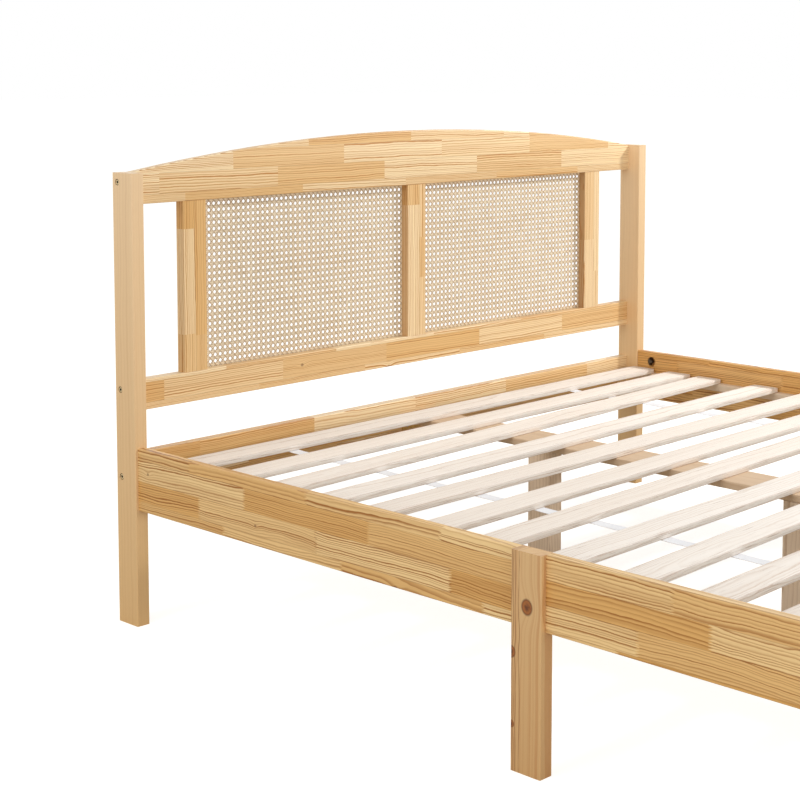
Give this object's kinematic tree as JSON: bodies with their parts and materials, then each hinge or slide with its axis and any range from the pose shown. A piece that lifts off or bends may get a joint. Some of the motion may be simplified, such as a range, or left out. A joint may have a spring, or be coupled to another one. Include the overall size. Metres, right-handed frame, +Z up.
{
  "type": "bed frame",
  "caption": "Low platform bed of pale pine with an arched headboard, woven cane panels, plank side rails and a slatted deck.",
  "frame": {"origin": "on the floor, under the middle of the bed", "axes": "+X to the right for someone at the foot end who looks at the headboard, +Y along the bed towards the headboard, +Z up"},
  "size_m": [1.6, 2.09, 0.928],
  "materials": {
    "laminated_pine": "clear oiled, finger jointed",
    "solid_pine": "clear oiled",
    "raw_pine": "sanded, unfinished",
    "cane": "matte, woven",
    "webbing": "woven tape",
    "zinc_steel": "zinc plated",
    "black_steel": "black oxide socket",
    "beech": "plain"
  },
  "bodies": {
    "root": {"crest_rail": "laminated_pine", "lower_head_rail": "laminated_pine", "head_end_rail": "laminated_pine", "stile_left": "laminated_pine", "stile_centre": "laminated_pine", "stile_right": "laminated_pine", "side_rail_left_head": "laminated_pine", "side_rail_left_foot": "laminated_pine", "side_rail_right_head": "laminated_pine", "side_rail_right_foot": "laminated_pine", "foot_rail": "laminated_pine", "head_post_left": "solid_pine", "head_post_right": "solid_pine", "middle_leg_left": "solid_pine", "middle_leg_right": "solid_pine", "foot_leg_left": "solid_pine", "foot_leg_right": "solid_pine", "cane_panel_left": "cane", "cane_panel_right": "cane", "cane_spline_left": "cane", "cane_spline_right": "cane", "ledger_left_head": "raw_pine", "ledger_left_foot": "raw_pine", "ledger_right_head": "raw_pine", "ledger_right_foot": "raw_pine", "centre_beam_head": "raw_pine", "centre_beam_foot": "raw_pine", "centre_leg_head": "raw_pine", "centre_leg_middle": "raw_pine", "centre_leg_foot": "raw_pine", "slat_01": "raw_pine", "slat_02": "raw_pine", "slat_03": "raw_pine", "slat_04": "raw_pine", "slat_05": "raw_pine", "slat_06": "raw_pine", "slat_07": "raw_pine", "slat_08": "raw_pine", "slat_09": "raw_pine", "slat_10": "raw_pine", "slat_11": "raw_pine", "slat_12": "raw_pine", "slat_13": "raw_pine", "slat_14": "raw_pine", "slat_15": "raw_pine", "strap_left": "webbing", "strap_right": "webbing", "strap_staples": "zinc_steel", "barrel_nuts": "zinc_steel", "middle_rods": "zinc_steel", "half_moon_washers": "zinc_steel", "rail_nuts": "zinc_steel", "beam_brackets": "zinc_steel", "bracket_screws": "zinc_steel", "ledger_screws": "zinc_steel", "leg_screws": "zinc_steel", "corner_bolts": "black_steel", "rail_bolts": "black_steel", "dowels": "beech"}
  },
  "joints": []
}
